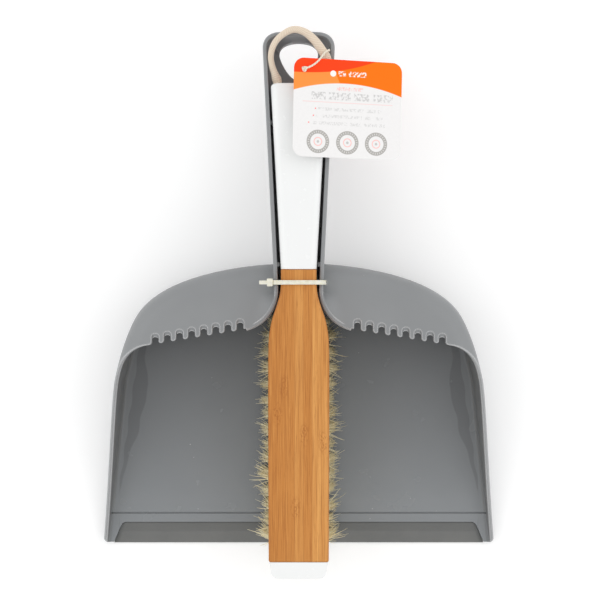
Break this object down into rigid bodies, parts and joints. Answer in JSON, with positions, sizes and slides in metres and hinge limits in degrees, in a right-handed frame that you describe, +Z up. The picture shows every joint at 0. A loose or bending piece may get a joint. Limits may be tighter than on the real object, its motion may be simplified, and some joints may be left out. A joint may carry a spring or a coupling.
{
  "type": "dustpan and brush",
  "caption": "Hooded hand dustpan with a soft lip and combed hood, and a bamboo-backed hand brush that nests in the pan's channel handle, with rope loop, tag and tie.",
  "frame": {"origin": "on the floor under the middle of the assembly's plan, with the pan lying flat", "axes": "+Y from the pan's front lip towards the handles' end, +X to the right seen from above with the handle up, +Z up"},
  "size_m": [0.245, 0.3288, 0.0726],
  "materials": {
    "grey_plastic": "moulded polypropylene, satin outside and semi-gloss floor",
    "soft_lip": "soft thermoplastic rubber, matt",
    "white_plastic": "glossy moulded plastic",
    "bamboo": "laminated bamboo, satin oil finish",
    "bristle": "cream plant-fibre bristle",
    "screw_steel": "zinc plated",
    "cotton_rope": "woven cotton cord",
    "cotton_string": "twisted cotton string",
    "tag_card": "printed card with a semi-gloss coat",
    "nylon_tie": "natural milky nylon"
  },
  "bodies": {
    "pan": {"dustpan": "grey_plastic", "soft_lip": "soft_lip"},
    "brush": {"brush_body": "white_plastic", "bamboo_back": "bamboo", "back_screw_1": "screw_steel", "back_screw_2": "screw_steel", "back_screw_3": "screw_steel", "tuft_left_1": "bristle", "tuft_left_2": "bristle", "tuft_left_3": "bristle", "tuft_left_4": "bristle", "tuft_left_5": "bristle", "tuft_left_6": "bristle", "tuft_left_7": "bristle", "tuft_left_8": "bristle", "tuft_left_9": "bristle", "tuft_left_10": "bristle", "tuft_left_11": "bristle", "tuft_left_12": "bristle", "tuft_left_13": "bristle", "tuft_left_14": "bristle", "tuft_left_15": "bristle", "tuft_right_1": "bristle", "tuft_right_2": "bristle", "tuft_right_3": "bristle", "tuft_right_4": "bristle", "tuft_right_5": "bristle", "tuft_right_6": "bristle", "tuft_right_7": "bristle", "tuft_right_8": "bristle", "tuft_right_9": "bristle", "tuft_right_10": "bristle", "tuft_right_11": "bristle", "tuft_right_12": "bristle", "tuft_right_13": "bristle", "tuft_right_14": "bristle", "tuft_right_15": "bristle", "tuft_middle_1": "bristle", "tuft_middle_2": "bristle", "tuft_middle_3": "bristle", "tuft_middle_4": "bristle", "tuft_middle_5": "bristle", "tuft_middle_6": "bristle", "tuft_middle_7": "bristle", "tuft_middle_8": "bristle", "tuft_middle_9": "bristle", "tuft_middle_10": "bristle", "tuft_middle_11": "bristle", "tuft_middle_12": "bristle", "tuft_middle_13": "bristle", "tuft_middle_14": "bristle", "hang_loop": "cotton_rope"},
    "tag": {"swing_tag": "tag_card", "tag_string": "cotton_string"},
    "tie": {"cable_tie": "nylon_tie"}
  },
  "joints": [
    {"name": "brush_lift", "type": "slide", "parent": "pan", "child": "brush", "axis": [0, 0, 1], "range_m": [0, 0.12]},
    {"name": "tie_pull", "type": "slide", "parent": "brush", "child": "tie", "axis": [0, 0, 1], "range_m": [0, 0.035]},
    {"name": "tag_flip", "type": "hinge", "parent": "brush", "child": "tag", "pos_m": [0.0172, 0.1509, 0.0667], "axis": [-1, 0, 0], "range_deg": [0, 100]}
  ]
}
